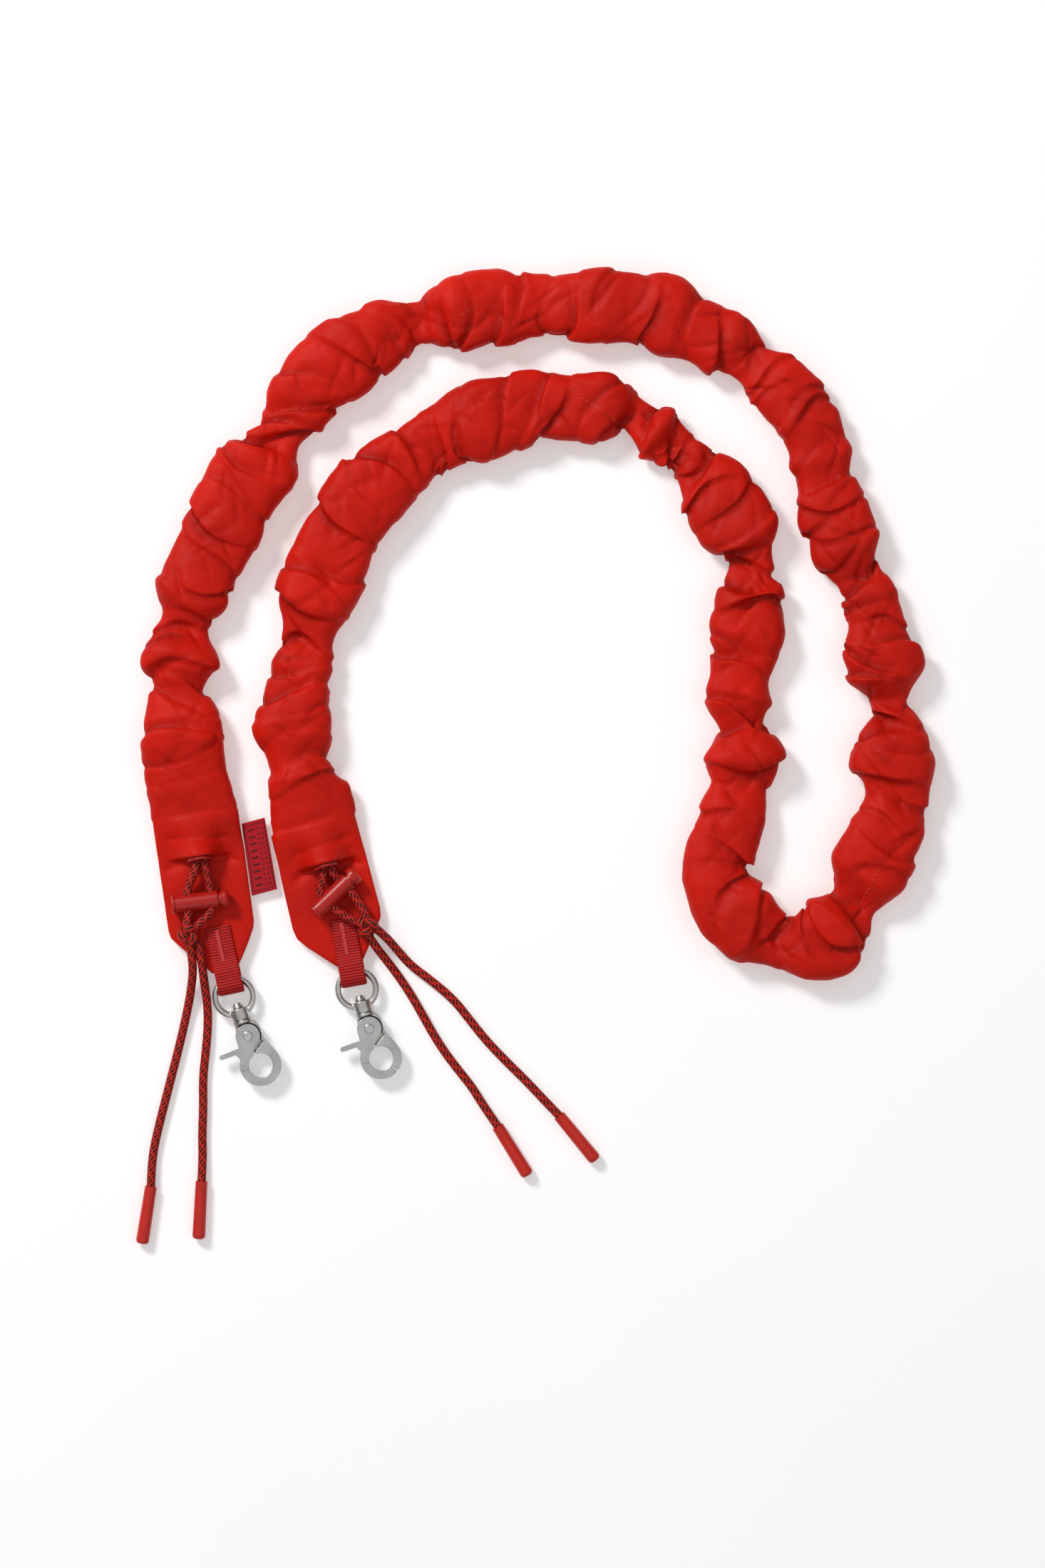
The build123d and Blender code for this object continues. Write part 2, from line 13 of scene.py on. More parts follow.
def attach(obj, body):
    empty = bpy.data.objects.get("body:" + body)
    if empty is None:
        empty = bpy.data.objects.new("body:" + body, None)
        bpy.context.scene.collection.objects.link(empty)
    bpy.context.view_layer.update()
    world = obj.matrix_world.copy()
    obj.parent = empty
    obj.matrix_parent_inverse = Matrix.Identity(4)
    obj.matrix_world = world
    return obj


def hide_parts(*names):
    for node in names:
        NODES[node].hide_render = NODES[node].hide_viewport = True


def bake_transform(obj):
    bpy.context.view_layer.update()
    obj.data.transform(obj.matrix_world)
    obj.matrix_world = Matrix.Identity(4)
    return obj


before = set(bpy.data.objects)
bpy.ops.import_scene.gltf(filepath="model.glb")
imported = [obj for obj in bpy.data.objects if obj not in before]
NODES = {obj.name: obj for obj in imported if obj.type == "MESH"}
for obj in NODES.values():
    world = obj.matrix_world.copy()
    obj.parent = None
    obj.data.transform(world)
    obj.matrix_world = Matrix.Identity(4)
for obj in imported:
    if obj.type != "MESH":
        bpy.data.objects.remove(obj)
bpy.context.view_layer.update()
MM = 0.001

# ---------------------------------------------------------------- sizes, in millimetres unless said
PAD_BOTTOM, PAD_TOP = 1.1, 5.3
HOOD_LENGTH, HOOD_TOP = 18.0, 16.4
COLLAR_TOP = 10.6
EYELET_HEIGHT = 10.75
EYELET_RADIUS = 4.3
EYELET_TILT = 10.0
CORD_DIAMETER = 3.5
CORD_SPACING_EYELET = 3.6
LOCK_HEIGHT = 9.6
LOCK_HOLES = (6.4, 16.4)
KNOT_HEIGHT = 9.8
WEB_MIDDLE = 4.3
WEB_WIDTH, WEB_THICKNESS = 10.4, 1.1

StrapEnd = namedtuple(
    "StrapEnd",
    "name eyelet tilt outline lock_start lock_turn knot approach leave lower web_top web_tilt web_length",
)
LEFT = StrapEnd(
    name="left",
    eyelet=(-137.6, -74.1),
    tilt=8.0,
    outline=[
        (-18, -17.4, 18.2), (28, -17.3, 18.2), (31, -16.6, 17.6),
        (36, -12.4, 15.2), (43, -5.8, 11), (47.5, -2, 8),
    ],
    lock_start=(-13.9, 17.0),
    lock_turn=-1.0,
    knot=(-8.8, 30.3),
    approach=(5.0, 5.0),
    leave=(4.6, 5.0),
    lower=[(-9.4, 26.2), (-4.9, 26.8)],
    web_top=(-130.6, -102.1),
    web_tilt=12.2,
    web_length=28.6,
)
RIGHT = StrapEnd(
    name="right",
    eyelet=(-85.6, -77.1),
    tilt=15.0,
    outline=[
        (-18, -18.8, 16.8), (22, -20.2, 16.8), (26, -19.6, 16.2),
        (31, -16, 12.6), (37, -10.6, 8), (41.8, -6, 4),
    ],
    lock_start=(-9.2, 17.3),
    lock_turn=29.0,
    knot=(9.8, 28.2),
    approach=(5.0, 3.4),
    leave=(5.0, 5.0),
    lower=[(5.2, 24.4), (10.4, 22.6)],
    web_top=(-79.1, -99.1),
    web_tilt=10.5,
    web_length=28.2,
)
ENDS = (LEFT, RIGHT)

# The sleeve's middle line, from the left end to the right.
SLEEVE_ROUTE = [
    (-148, -3), (-142, 27), (-132, 54), (-120, 80), (-103, 106), (-78, 131), (-56, 146),
    (-30, 151), (0, 154), (36, 153), (66, 145), (90, 130), (112, 108), (121, 84), (127, 58),
    (138, 34), (144, 4), (147.5, -24), (147.5, -54), (138, -82), (124, -103), (108, -108),
    (86, -98), (77, -82), (82, -58), (86, -36), (84, -12), (88, 14), (88, 46), (78, 73),
    (58, 94), (34, 109), (0, 112.5), (-30, 103), (-58, 86), (-78, 62), (-90, 32), (-97, 4),
]
END_RUN = 28.0
# The middle of the sleeve strays from the route by up to about one and a half times WANDER, and turns back
# over about WANDER_SPACING.
WANDER, WANDER_SPACING = 1.3, 30

# The sleeve is about PUFF_WIDTH across, changes by a little more than PUFF_CHANGE either way, and draws in to
# about PINCH_WIDTH where it is tightest.
# A pinch reaches PINCH_REACH each way, and the sleeve opens out to the flat ends over COLLAR_REACH.
PUFF_WIDTH, PUFF_CHANGE = 30.5, 3.0
PINCH_WIDTH = 15.5
PUFF_SPACING = 26
PINCH_REACH = 15.0
COLLAR_REACH = 24.0
# Where it draws in: (x, y, how tightly from 0 to 1).
PINCHES = [
    (-142, -5, 0.6), (-142, 22, 0.8), (-105, 102, 0.8), (-46, 145, 0.9), (2, 153, 0.4), (40, 150, 0.3),
    (68, 144, 0.3), (89, 128, 0.8), (115, 97, 0.4), (122, 84, 0.5), (138, 44, 0.7), (140, 27, 0.5),
    (146, -10, 1.0), (150, -49, 0.5), (134, -93, 0.8), (102, -103, 0.5), (88, -45, 0.6), (84, -19, 0.8),
    (88, 3, 0.5), (89, 48, 0.7), (66, 89, 0.5), (58, 94, 0.9), (42, 107, 0.9), (-37, 99, 0.3),
    (-92, 17, 0.7), (-99, -3, 0.3), (-94, -36, 0.4),
]

# The free tail of each cord, from its knot to its moulded tip.
TAILS = {
    "left_a": [
        (-142.0, -108.7, 8.6), (-140.4, -117, 7.9), (-141.2, -126, 4.3), (-142.9, -135.5, 1.9),
        (-145.9, -149, 1.8), (-149.6, -163.5, 1.8), (-153.2, -177.5, 1.8), (-156.2, -189.5, 1.8),
        (-158.0, -200, 1.9), (-158.2, -209.5, 2.7),
    ],
    "left_b": [
        (-138.3, -108.2, 8.6), (-136.8, -117.8, 8.0), (-135.9, -126.5, 4.4), (-134.8, -135, 1.9),
        (-134.7, -144, 1.8), (-135.6, -154, 1.8), (-136.8, -165, 1.8), (-136.6, -177, 1.8),
        (-137.1, -188, 1.8), (-136.8, -198, 1.9), (-137.3, -207.3, 2.7),
    ],
    "right_a": [
        (-68.5, -105.2, 8.6), (-65.6, -109.8, 7.6), (-61.2, -115.5, 4.2), (-56.4, -122, 1.9),
        (-51.3, -129.5, 1.8), (-46.4, -138, 1.8), (-42.0, -146, 1.8), (-37.2, -153.6, 1.8),
        (-31.6, -161, 1.8), (-25.9, -168, 1.8), (-21.0, -176, 1.9), (-15.0, -184.6, 2.7),
    ],
    "right_b": [
        (-65.3, -102.6, 8.6), (-61.0, -106.2, 7.2), (-56.4, -111.8, 3.9), (-50.9, -118.2, 1.9),
        (-42.6, -124.3, 1.8), (-33.2, -132.2, 1.8), (-26.6, -140.6, 1.8), (-19.6, -149.4, 1.8),
        (-11.3, -158, 1.8), (-2.8, -166.3, 1.8), (4.2, -173.8, 1.9), (10.4, -180.2, 2.7),
    ],
}


# ---------------------------------------------------------------- node materials
class Shader:
    """A small helper that builds one node material."""

    def __init__(self, name, colour, roughness, metallic=0.0):
        self.material = bpy.data.materials.new(name)
        self.material.use_nodes = True
        self.tree = self.material.node_tree
        self.surface = self.tree.nodes["Principled BSDF"]
        self.colour = colour
        self.set("Base Color", (*colour, 1))
        self.set("Roughness", roughness)
        self.set("Metallic", metallic)

    def set(self, socket, value):
        self.surface.inputs[socket].default_value = value
        return self

    def node(self, kind, **settings):
        node = self.tree.nodes.new(kind)
        for name, value in settings.items():
            if name in node.inputs:
                node.inputs[name].default_value = value
            else:
                setattr(node, name, value)
        return node

    def link(self, start, finish):
        self.tree.links.new(start, finish)

    def coordinates(self, kind="Object"):
        return self.node("ShaderNodeTexCoord").outputs[kind]

    def math(self, operation, first, second=None):
        node = self.node("ShaderNodeMath", operation=operation)
        for socket, value in zip(node.inputs, (first, second)):
            if value is None:
                continue
            if isinstance(value, (int, float)):
                socket.default_value = value
            else:
                self.link(value, socket)
        return node.outputs[0]

    def noise(self, scale, detail=3.0, where=None):
        node = self.node("ShaderNodeTexNoise", Scale=scale, Detail=detail)
        self.link(where or self.coordinates(), node.inputs["Vector"])
        return node.outputs["Fac"]

    def ramp(self, value, *stops):
        """Maps a number through (position, colour) stops."""
        node = self.node("ShaderNodeValToRGB")
        elements = node.color_ramp.elements
        while len(elements) < len(stops):
            elements.new(0.5)
        for element, (position, colour) in zip(elements, stops):
            element.position = position
            element.color = (*colour, 1)
        self.link(value, node.inputs["Fac"])
        return node.outputs["Color"]

    def grey(self, value, low, high, start=0.0, finish=1.0):
        """Maps a number from start..finish to low..high."""
        node = self.node("ShaderNodeMapRange")
        for name, number in (("From Min", start), ("From Max", finish), ("To Min", low), ("To Max", high)):
            node.inputs[name].default_value = number
        self.link(value, node.inputs["Value"])
        return node.outputs["Result"]

    def colour_from(self, output):
        self.link(output, self.surface.inputs["Base Color"])
        return self

    def roughness_from(self, output):
        self.link(output, self.surface.inputs["Roughness"])
        return self

    def bump(self, height, distance, strength=1.0, under=None):
        node = self.node("ShaderNodeBump", Distance=distance, Strength=strength)
        self.link(height, node.inputs["Height"])
        if under is not None:
            self.link(under, node.inputs["Normal"])
        self.link(node.outputs["Normal"], self.surface.inputs["Normal"])
        return node.outputs["Normal"]


def shade(colour, factor):
    return tuple(min(1.0, channel * factor) for channel in colour)


def waves(shader, uv, across, period):
    """A 0..1 wave along one axis of the UV map, period in metres."""
    split = shader.node("ShaderNodeSeparateXYZ")
    shader.link(uv, split.inputs["Vector"])
    angle = shader.math("MULTIPLY", split.outputs["X" if across else "Y"], 2 * pi / period)
    return shader.math("MULTIPLY_ADD", shader.math("SINE", angle), 0.5)


def nylon_material():
    """Crisp woven nylon: fine plain weave, small crinkles, faint colour drift, a soft sheen, and painted
    shade in the creases.
    """
    red = (0.60, 0.010, 0.003)
    shader = Shader("red_nylon", red, 0.5).set("Sheen Weight", 0.04).set("Sheen Roughness", 0.4)
    shader.set("Sheen Tint", (1.0, 0.2, 0.15, 1)).set("Specular IOR Level", 0.12)
    uv = shader.coordinates("UV")
    drift = shader.noise(38, 4)
    colour = shader.ramp(drift, (0.3, shade(red, 0.86)), (0.7, shade(red, 1.08)))
    # Painted shade: the colour is multiplied towards a dark grey-red along the crease lines in the fabric's
    # 'crease' attribute, standing in for the shade inside the folds.
    crease_shade = shader.node("ShaderNodeAttribute", attribute_name="crease").outputs["Fac"]
    darker = shader.node("ShaderNodeMix", data_type="RGBA", blend_type="MULTIPLY")
    shader.link(shader.math("MULTIPLY", crease_shade, 0.8), darker.inputs["Factor"])
    shader.link(colour, darker.inputs[6])
    darker.inputs[7].default_value = (0.3, 0.22, 0.22, 1)
    shader.colour_from(darker.outputs[2])
    shader.roughness_from(shader.grey(shader.noise(160, 2), 0.44, 0.6))
    crinkle = shader.bump(shader.noise(230, 5), 0.0009, 0.35)
    weave = shader.math("MULTIPLY", waves(shader, uv, True, 0.0009), waves(shader, uv, False, 0.0007))
    shader.bump(weave, 0.00008, 0.5, crinkle)
    return shader.material


def webbing_material():
    red = (0.5, 0.012, 0.01)
    shader = Shader("red_webbing", red, 0.55).set("Specular IOR Level", 0.2)
    uv = shader.coordinates("UV")
    rib = waves(shader, uv, False, WEB_RIB * MM)
    # Painted shade and highlight: the colour darkens in the troughs between the ribs and lightens on their
    # crests, in step with the ribs' relief.
    shader.colour_from(shader.ramp(rib, (0.15, shade(red, 0.35)), (0.75, shade(red, 1.25))))
    shader.bump(waves(shader, uv, True, 0.0005), 0.0001, 0.6)
    return shader.material


def cord_material():
    """Braided polyester: red strands with dark tracers, taken from each face's strand."""
    red = (0.50, 0.018, 0.01)
    shader = Shader("braided_cord", red, 0.6).set("Specular IOR Level", 0.2)
    strand = shader.node("ShaderNodeAttribute", attribute_name="dark_strand").outputs["Fac"]
    fibre = shader.noise(2600, 2)
    level = shader.math("MULTIPLY_ADD", strand, -0.8)
    level.node.inputs[2].default_value = 0.9
    shader.colour_from(shader.ramp(level, (0.1, (0.022, 0.006, 0.006)), (0.9, red)))
    shader.bump(fibre, 0.00012, 0.5)
    return shader.material


def thread_material(name, colour):
    shader = Shader(name, colour, 0.5).set("Specular IOR Level", 0.3)
    twist = shader.noise(3500, 1)
    shader.colour_from(shader.ramp(twist, (0.3, shade(colour, 0.7)), (0.7, shade(colour, 1.15))))
    shader.bump(twist, 0.00008, 0.5)
    return shader.material


def label_material():
    red = (0.5, 0.010, 0.018)
    shader = Shader("woven_label", red, 0.6).set("Specular IOR Level", 0.15)
    uv = shader.coordinates("UV")
    weave = shader.math("MULTIPLY", waves(shader, uv, True, 0.0005), waves(shader, uv, False, 0.0004))
    shader.colour_from(shader.ramp(weave, (0.0, shade(red, 0.75)), (0.8, shade(red, 1.15))))
    shader.bump(weave, 0.0001, 0.7)
    return shader.material


def plastic_material(name, colour, roughness):
    """Moulded plastic or enamel: a fine moulding texture under a gloss coat."""
    shader = Shader(name, colour, roughness).set("Coat Weight", 0.08).set("Coat Roughness", 0.15)
    shader.set("Specular IOR Level", 0.35)
    drift = shader.noise(120, 3)
    shader.colour_from(shader.ramp(drift, (0.3, shade(colour, 0.9)), (0.7, shade(colour, 1.05))))
    shader.roughness_from(shader.grey(drift, roughness - 0.06, roughness + 0.08))
    shader.bump(shader.noise(900, 3), 0.00005, 0.4)
    return shader.material


def nickel_material(name, tone, roughness):
    """Satin nickel plate: tumbled finish with faint clouding and fine scratches."""
    colour = (tone, tone * 0.985, tone * 0.96)
    shader = Shader(name, colour, roughness, 1.0)
    cloud = shader.noise(180, 4)
    shader.colour_from(shader.ramp(cloud, (0.3, shade(colour, 0.88)), (0.7, shade(colour, 1.06))))
    shader.roughness_from(shader.grey(cloud, roughness - 0.07, roughness + 0.1))
    stretched = shader.node("ShaderNodeMapping")
    stretched.inputs["Scale"].default_value = (1.0, 6.0, 1.0)
    shader.link(shader.coordinates(), stretched.inputs["Vector"])
    shader.bump(shader.noise(1500, 3, stretched.outputs["Vector"]), 0.00004, 0.25)
    return shader.material


WEB_RIB = 1.18
NYLON = nylon_material()
WEBBING = webbing_material()
CORD = cord_material()
THREAD = thread_material("bartack_thread", (0.72, 0.06, 0.07))
SEAM_THREAD = thread_material("seam_thread", (0.75, 0.07, 0.03))
DARK_THREAD = thread_material("label_thread", (0.02, 0.012, 0.014))
LABEL = label_material()
LOCK_PLASTIC = plastic_material("lock_plastic", (0.46, 0.010, 0.006), 0.34)
TIP_PLASTIC = plastic_material("tip_plastic", (0.56, 0.016, 0.008), 0.42)
EYELET_PAINT = plastic_material("eyelet_enamel", (0.36, 0.012, 0.01), 0.28)
NICKEL = nickel_material("satin_nickel", 0.62, 0.3)
RIVET_NICKEL = nickel_material("rivet_nickel", 0.7, 0.24)
SPRING_STEEL = nickel_material("spring_steel", 0.5, 0.28)


# ---------------------------------------------------------------- lines and tubes
def end_matrix(end):
    """The end's frame: points are (across, up the strap, height) in millimetres, turned into metres."""
    return (
        Matrix.Translation((end.eyelet[0] * MM, end.eyelet[1] * MM, 0))
        @ Matrix.Rotation(radians(end.tilt), 4, "Z")
        @ Matrix.Scale(MM, 4)
    )


def lock_matrix(end):
    across, down = end.lock_start
    place = Matrix.Translation((across, -down, LOCK_HEIGHT))
    return end_matrix(end) @ place @ Matrix.Rotation(radians(end.lock_turn), 4, "Z")


def web_matrix(end):
    return (
        Matrix.Translation((end.web_top[0] * MM, end.web_top[1] * MM, 0))
        @ Matrix.Rotation(radians(end.web_tilt), 4, "Z")
        @ Matrix.Scale(MM, 4)
    )


def placed(matrix, points):
    return [tuple(matrix @ Vector(point)) for point in points]


def nurbs_curve(name, points):
    """A smooth open spline with these points, in metres, as its control points."""
    curve = bpy.data.curves.new(name, "CURVE")
    curve.dimensions = "3D"
    curve.resolution_u = 24
    spline = curve.splines.new("NURBS")
    spline.points.add(len(points) - 1)
    for control, point in zip(spline.points, points):
        control.co = (*point, 1)
    spline.order_u = 3
    spline.use_endpoint_u = True
    return curve


def nurbs_line(points):
    """The points that the spline through these controls passes, as an array."""
    holder = bpy.data.objects.new("route", nurbs_curve("route", points))
    mesh = bpy.data.meshes.new_from_object(holder)
    line = np.array([vertex.co for vertex in mesh.vertices], float)
    bpy.data.meshes.remove(mesh)
    bpy.data.objects.remove(holder)
    return line


def spaced(line, step):
    """The same line with evenly spaced points."""
    line = np.asarray(line, float)
    along = np.concatenate([[0], np.cumsum(np.linalg.norm(np.diff(line, axis=0), axis=1))])
    count = max(2, int(round(along[-1] / step)) + 1)
    even = np.linspace(0, along[-1], count)
    return np.stack([np.interp(even, along, line[:, axis]) for axis in range(line.shape[1])], axis=1)


def line_frames(line):
    """Two directions across the line at each point, carried along without twist."""
    tangents = np.gradient(line, axis=0)
    tangents /= np.linalg.norm(tangents, axis=1)[:, None]
    side = np.cross(tangents[0], (0, 0, 1))
    side /= np.linalg.norm(side)
    sides = []
    for tangent in tangents:
        side = side - tangent * side.dot(tangent)
        side /= np.linalg.norm(side)
        sides.append(side)
    sides = np.array(sides)
    return sides, np.cross(tangents, sides)


def grid_faces(rows, columns):
    """Quads of a tube with this many rows, closed around."""
    faces = []
    for row in range(rows - 1):
        for column in range(columns):
            after = (column + 1) % columns
            here, above = row * columns, (row + 1) * columns
            faces.append((here + column, here + after, above + after, above + column))
    return faces


def add_piece(name, verts, faces, material, smooth=True):
    mesh = bpy.data.meshes.new(name)
    mesh.from_pydata([tuple(v) for v in verts], [], faces)
    mesh.materials.append(material)
    mesh.polygons.foreach_set("use_smooth", [smooth] * len(mesh.polygons))
    mesh.update()
    piece = bpy.data.objects.new(name, mesh)
    bpy.context.scene.collection.objects.link(piece)
    return piece


def add_uv(piece, columns, lengths, girths):
    """A UV map of a tube grid in metres: u around, v along."""
    layer = piece.data.uv_layers.new(name="UVMap")
    for polygon in piece.data.polygons:
        wraps = any(v % columns == 0 for v in polygon.vertices) and any(
            v % columns == columns - 1 for v in polygon.vertices
        )
        for loop, vertex in zip(polygon.loop_indices, polygon.vertices):
            if vertex >= columns * len(lengths):
                continue
            row, column = divmod(vertex, columns)
            share = 1.0 if wraps and column == 0 else column / columns
            layer.data[loop].uv = (share * girths[row], lengths[row])


# ---------------------------------------------------------------- braided cords
BRAID_STRANDS = 12
BRAID_PITCH = 14.0
BRAID_RELIEF = 0.16
BRAID_STEP = 0.28
BRAID_SIDES = 36


def braid(along, around):
    """The height (0..1) of the braid's surface and whether the strand on top is a dark one."""
    turn = along / BRAID_PITCH
    one = BRAID_STRANDS * (around / (2 * pi) + turn)
    two = BRAID_STRANDS * (around / (2 * pi) - turn)
    first_on_top = (np.floor(one) + np.floor(two)) % 2 == 0
    strand = np.where(first_on_top, one, two)
    offset = 2 * np.abs(strand - np.floor(strand) - 0.5)
    index = np.floor(strand)
    dark = np.where(first_on_top, index % 4 == 0, index % 2 == 0)
    return np.sqrt(1 - 0.9 * offset**2), dark.astype(float)


def braided_tube(name, line, diameter=CORD_DIAMETER * MM, start=0.0):
    """A braided cord along a line in metres, with its strands in the surface and its ends closed."""
    line = spaced(line, BRAID_STEP * MM)
    sides, ups = line_frames(line)
    rows, columns = len(line), BRAID_SIDES
    along = start + np.arange(rows)[:, None] * BRAID_STEP
    around = np.arange(columns)[None, :] * 2 * pi / columns
    height, _ = braid(along, around)
    radius = diameter / 2 + BRAID_RELIEF * MM * (height - 0.7)
    ring = np.cos(around)[..., None] * sides[:, None] + np.sin(around)[..., None] * ups[:, None]
    verts = (line[:, None] + radius[..., None] * ring).reshape(-1, 3)
    faces = grid_faces(rows, columns)
    verts = np.vstack([verts, line[0], line[-1]])
    first, last = rows * columns, rows * columns + 1
    for column in range(columns):
        after = (column + 1) % columns
        faces.append((first, after, column))
        faces.append((last, (rows - 1) * columns + column, (rows - 1) * columns + after))
    piece = add_piece(name, verts, faces, CORD)
    middle_along = along[:-1] + BRAID_STEP / 2
    middle_around = around + pi / columns
    _, dark = braid(middle_along, middle_around)
    values = np.concatenate([dark.ravel(), np.zeros(2 * columns)]).astype(np.float32)
    attribute = piece.data.attributes.new("dark_strand", "FLOAT", "FACE")
    attribute.data.foreach_set("value", values)
    return piece


def metres(points):
    return [tuple(value * MM for value in point) for point in points]


def joined(name, pieces):
    """Several meshes joined into the first, under one name."""
    bpy.ops.object.select_all(action="DESELECT")
    for piece in pieces:
        piece.select_set(True)
    bpy.context.view_layer.objects.active = pieces[0]
    bpy.ops.object.join()
    pieces[0].name = name
    return pieces[0]


def eyelet_point(side, distance):
    tilt = radians(EYELET_TILT)
    return (side * CORD_SPACING_EYELET / 2, -distance * cos(tilt), EYELET_HEIGHT + distance * sin(tilt))


def hole_point(end, index, ahead=0.0):
    """A point on the axis of a lock hole, in metres."""
    return tuple(lock_matrix(end) @ Vector((LOCK_HOLES[index], -ahead, 0)))


def make_upper_cords(end):
    strands = []
    for index, side in enumerate((-1, 1)):
        through = [eyelet_point(side, ahead) for ahead in (-7, 1.6, 3.6)]
        points = placed(end_matrix(end), through)
        points += [hole_point(end, index, -end.approach[index]), hole_point(end, index)]
        strands.append(braided_tube("strand", nurbs_line(points), start=5.0 * index))
    piece = joined(f"cord_eyelet_to_lock_{end.name}", strands)
    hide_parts(f"cord_to_lock_{end.name}")
    return blend_to_lock(piece)


def make_lower_cords(end):
    strands = []
    knot = end_matrix(end) @ Vector((end.knot[0], -end.knot[1], KNOT_HEIGHT))
    for index in range(2):
        across, down = end.lower[index]
        turn = end_matrix(end) @ Vector((across, -down, LOCK_HEIGHT + 0.1))
        points = [hole_point(end, index), hole_point(end, index, end.leave[index]), tuple(turn)]
        points.append(tuple(turn.lerp(knot, 0.6)))
        strands.append(braided_tube("strand", nurbs_line(points), start=3.0 * index))
    piece = joined(f"cord_lock_to_knot_{end.name}", strands)
    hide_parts(f"cord_to_knot_{end.name}")
    return blend_to_lock(piece)


def blend_to_lock(piece):
    """Bakes the piece's placement into its mesh."""
    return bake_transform(piece)


KNOT_LOOP = 3.25
KNOT_RISE = 2.0


def knot_line(centre, turn, flip):
    """A trefoil, the closed form of the overhand knot, lying flat."""
    t = np.linspace(0, 2 * pi, 160)
    radius = KNOT_LOOP / 3
    x = radius * (np.sin(t) + 2 * np.sin(2 * t))
    y = radius * (np.cos(t) - 2 * np.cos(2 * t))
    z = -KNOT_RISE * flip * np.sin(3 * t)
    c, s = cos(radians(turn)), sin(radians(turn))
    local = np.stack([c * x - s * y, s * x + c * y, z], axis=1) * MM
    return local + np.array(centre)


def make_knot(end):
    centre = end_matrix(end) @ Vector((end.knot[0], -end.knot[1], KNOT_HEIGHT - 0.4))
    piece = braided_tube(f"overhand_knot_{end.name}", knot_line(centre, 20 if end is LEFT else -35, 1))
    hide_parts(f"cord_knot_{end.name}")
    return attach(piece, "root")


def make_tail(name):
    points = metres(TAILS[name])
    line = nurbs_line(points)
    piece = braided_tube(f"free_cord_{name}", line)
    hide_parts(f"cord_tail_{name}")
    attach(piece, "root")
    return piece


# ---------------------------------------------------------------- the fabric: sleeve and flat ends
RING = 72
GIRTH = 78.0
ROW_STEP = 0.9
GATHER = 1.35
FLOOR_GAP = 0.35
CORE_HALF_WIDTH, CORE_TOP = 5.6, 6.4
SEED = Vector((3.1, 7.7, 1.3))
RANDOM = np.random.default_rng(11)

Row = namedtuple("Row", "centre across left right low high square along mound down")
Valley = namedtuple("Valley", "at slant bow depth side lean")
Crease = namedtuple("Crease", "at across slant depth reach")


def smooth_path(points, step):
    """Catmull-Rom through the points, evenly spaced, in millimetres."""
    points = np.array(points, float)
    spread = np.vstack([2 * points[0] - points[1], points, 2 * points[-1] - points[-2]])
    runs = []
    t = np.linspace(0, 1, 24, endpoint=False)[:, None]
    for i in range(1, len(points)):
        a, b, c, d = spread[i - 1 : i + 3]
        runs.append(
            0.5 * (2 * b + (c - a) * t + (2 * a - 5 * b + 4 * c - d) * t**2 + (3 * b - a - 3 * c + d) * t**3)
        )
    return spaced(np.vstack([*runs, points[-1:]]), step)


def smoothed(values, reach):
    """A moving average over reach samples each side."""
    kernel = np.hanning(2 * reach + 3)[1:-1]
    padded_values = np.pad(values, reach, mode="edge")
    return np.convolve(padded_values, kernel / kernel.sum(), mode="valid")


def end_point(end, up):
    place = end_matrix(end) @ Vector((0, up, 0))
    return (place.x / MM, place.y / MM)


def crumple(width):
    """How tightly the fabric is gathered, 0 in a smooth puff and 1 in a pinch."""
    return np.clip((29.0 - width) / 11.0, 0.0, 1.0)


def panel_rows(end, sign):
    """Rows across a flat end, from its tip up to the collar. sign is 1 on the first end."""
    rows = []
    across = np.array(end_matrix(end).to_3x3().normalized() @ Vector((1, 0, 0)))[:2] * sign
    downs = [row[0] for row in end.outline]

    def row(down, mound):
        left = np.interp(down, downs, [r[1] for r in end.outline])
        right = np.interp(down, downs, [r[2] for r in end.outline])
        if sign < 0:
            left, right = -right, -left
        share = min(1.0, max(0.0, (-down - 0.5) / (HOOD_LENGTH - 0.5)))
        lift = share * share * (3 - 2 * share)
        high = PAD_TOP + lift * (COLLAR_TOP - PAD_TOP)
        low = PAD_BOTTOM + lift * (FLOOR_GAP - PAD_BOTTOM)
        rows.append(
            Row(end_point(end, -down), across, left, right, low, high, 0.22 + 0.45 * lift, 0.0, mound, down)
        )

    for down in np.arange(downs[-1], 1.0, -0.9):
        row(down, 0.0)
    for level in np.linspace(0, 1, 12):
        row(-0.2 - 1.2 * level, level)
    for down in np.arange(-2.3, -HOOD_LENGTH, -0.9):
        row(down, np.interp(down, [-HOOD_LENGTH - 4, -10, -2.5], [0.0, 0.5, 1.0]))
    return rows


def sleeve_width(path, along):
    """The width of each row: the puffs' own, drawn in by every pinch near it and opened out to the ends'."""
    drawn_in = np.zeros(len(path))
    for x, y, tightness in PINCHES:
        middle = along[np.argmin(np.hypot(path[:, 0] - x, path[:, 1] - y))]
        near = np.clip(1 - np.abs(along - middle) / PINCH_REACH, 0, 1)
        drawn_in = np.maximum(drawn_in, tightness * near * near * (3 - 2 * near))
    change = np.array([noise.noise(Vector((s / PUFF_SPACING, 3.1, 0.4))) for s in along])
    puff = PUFF_WIDTH + 2 * PUFF_CHANGE * change
    width = puff - (puff - PINCH_WIDTH) * drawn_in
    for end, distance in zip(ENDS, (along, along[-1] - along)):
        _, left, right = end.outline[0]
        near = np.clip(1 - distance / COLLAR_REACH, 0, 1)
        width += (right - left - width) * near * near * (3 - 2 * near)
    return width


